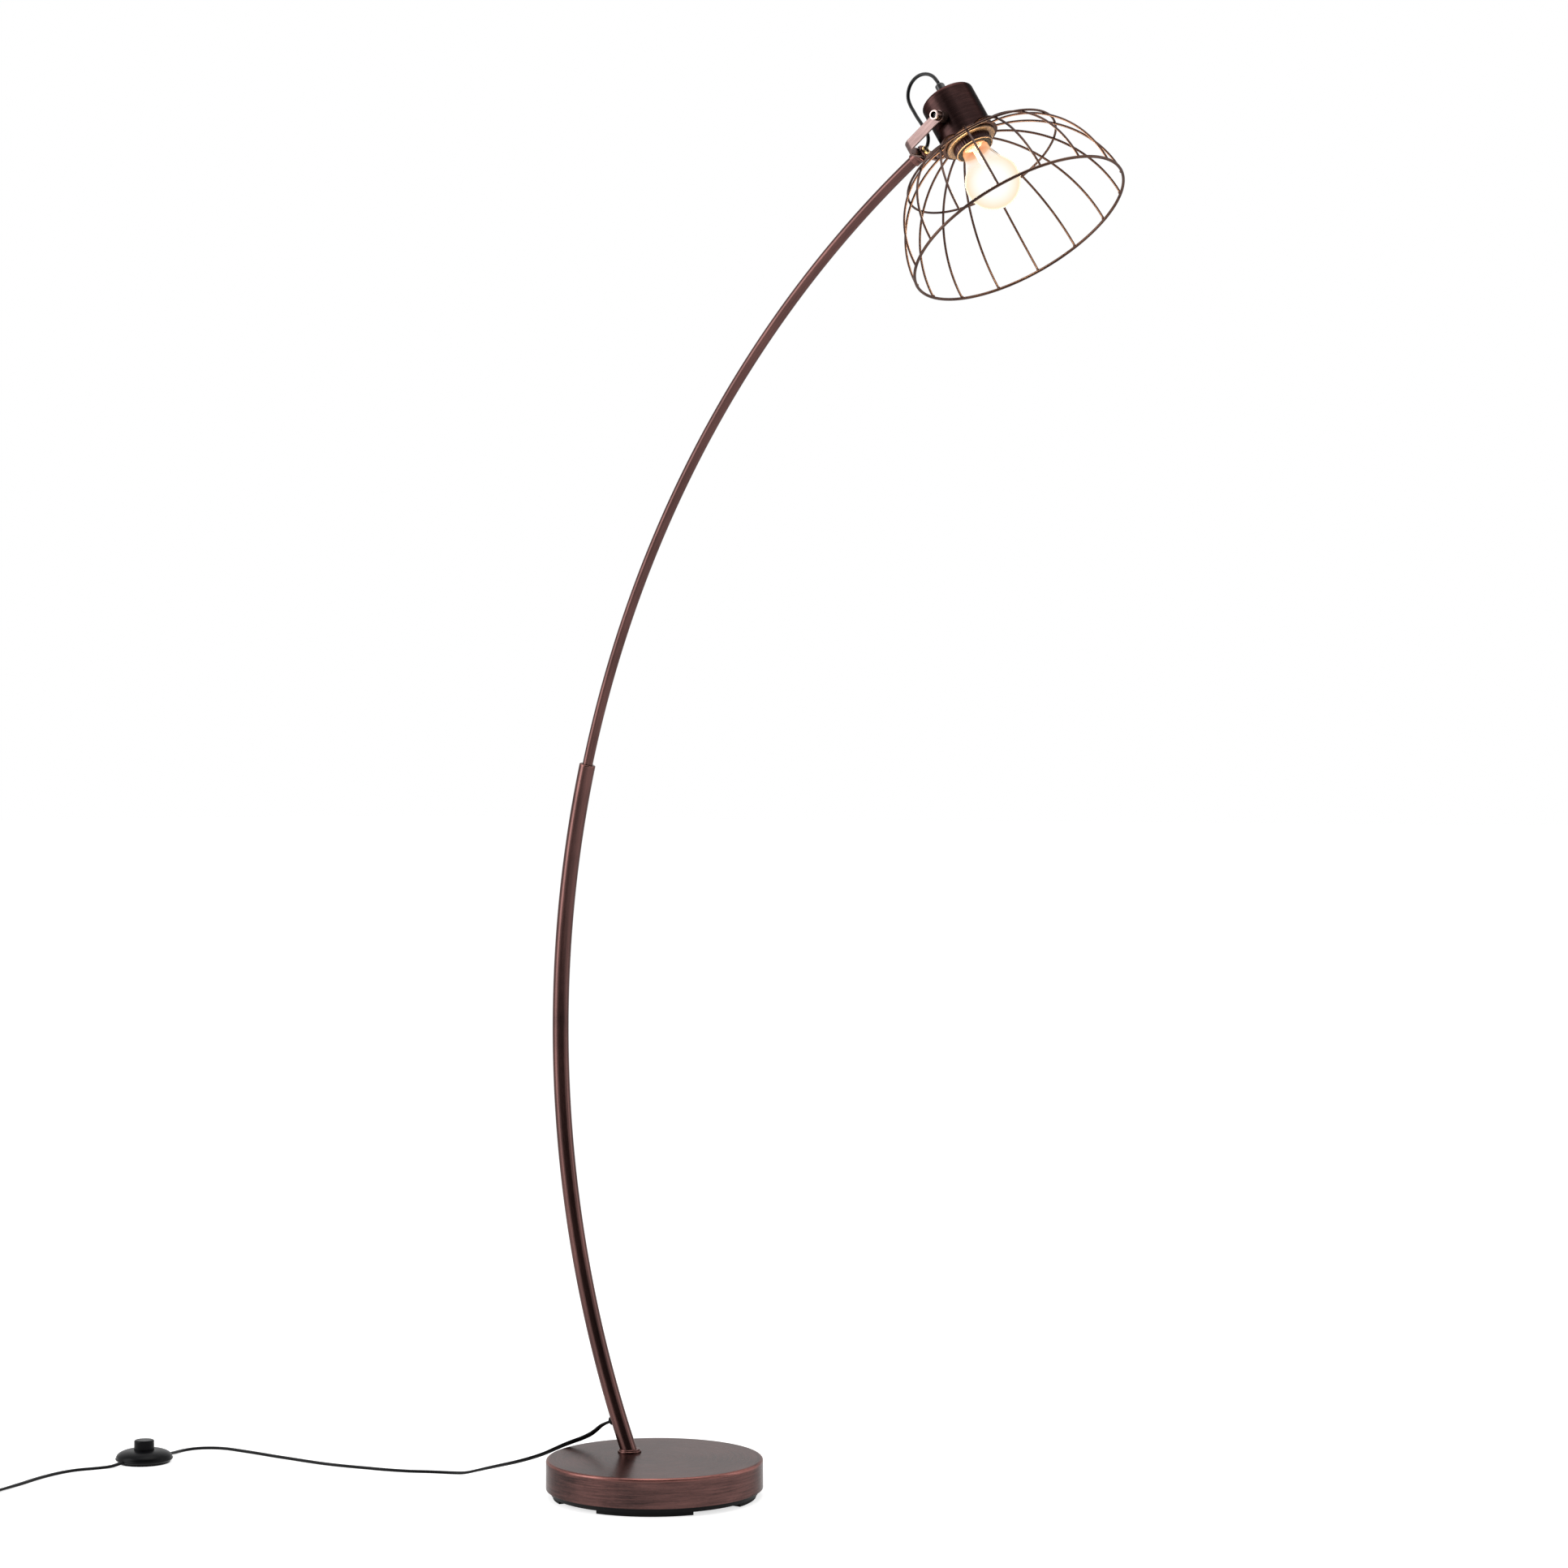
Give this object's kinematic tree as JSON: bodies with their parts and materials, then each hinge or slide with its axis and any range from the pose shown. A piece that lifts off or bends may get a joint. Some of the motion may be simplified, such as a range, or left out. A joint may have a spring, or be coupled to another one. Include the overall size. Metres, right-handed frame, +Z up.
{
  "type": "arc floor lamp",
  "caption": "Arc floor lamp: round weighted base, bent two-part tube and a tilting half-globe shade of bare wires round a clear bulb, with a foot switch on its cord.",
  "frame": {"origin": "centre of the round base, on the floor", "axes": "+Z up; +X the way the arc reaches out; +Y to the left of it, across the arc"},
  "size_m": [1.2563, 0.8002, 1.5935],
  "materials": {
    "bronze": "antique copper-brown plating, finely brushed",
    "cement": "cast, matte",
    "black_plastic": "satin moulded plastic",
    "black_rubber": "matte",
    "black_steel": "blackened steel",
    "zinc": "bright zinc plating",
    "brass": "plain rolled brass",
    "holder": "moulded thermoset",
    "porcelain": "unglazed",
    "bulb_glass": "clear blown glass",
    "stem_glass": "clear pressed glass",
    "bulb_metal": "nickel plating",
    "filament": "glowing tungsten wire",
    "cord": "black flexible vinyl"
  },
  "bodies": {
    "stand": {"base_cover": "bronze", "counterweight": "cement", "base_tray": "black_plastic", "foot_pads": "black_rubber", "foot_bolt": "zinc", "foot_washer": "zinc", "foot_collar": "bronze", "lower_tube": "bronze", "tube_cap": "bronze", "tube_bush": "zinc", "upper_tube": "bronze", "cord_grommet": "black_rubber", "cord_inlet": "cord", "lead_splice": "black_plastic", "arm_lead": "cord", "arm_ferrule": "bronze", "yoke": "bronze", "yoke_washer": "black_steel", "yoke_nut": "bronze", "yoke_nipple": "brass", "cord_run_1": "cord", "switch_floor": "black_plastic", "switch_dome": "black_plastic", "switch_spring": "zinc", "switch_block": "porcelain", "cord_run_2": "cord", "cord_coil": "cord", "coil_tie": "black_plastic", "plug_body": "black_plastic", "plug_pins": "bulb_metal"},
    "head": {"pivot_nuts": "bronze", "pivot_spacers": "black_plastic", "pivot_studs": "zinc", "lamp_cup": "bronze", "cord_grip": "black_plastic", "head_lead": "cord", "holder_cap": "holder", "holder_skirt": "holder", "holder_core": "porcelain", "screw_shell": "brass", "centre_contact": "brass", "shade_ring": "bronze", "wire_cage": "bronze", "bulb_glass": "bulb_glass", "bulb_cap": "bulb_metal", "bulb_stem": "stem_glass", "bulb_filament": "filament"},
    "switch_key": {"switch_button": "black_plastic"}
  },
  "joints": [
    {"name": "head_tilt", "type": "hinge", "parent": "stand", "child": "head", "pos_m": [0.42219, 0.00838, 1.53578], "axis": [0.0119, -0.9997, -0.0193], "range_deg": [-20, 55], "deforming": ["head_lead"]},
    {"name": "switch_press", "type": "slide", "parent": "stand", "child": "switch_key", "axis": [0, 0, -1], "range_m": [0, 0.003], "stiffness_N_per_m": 400, "springref_m": -0.001, "deforming": ["switch_spring"]}
  ]
}
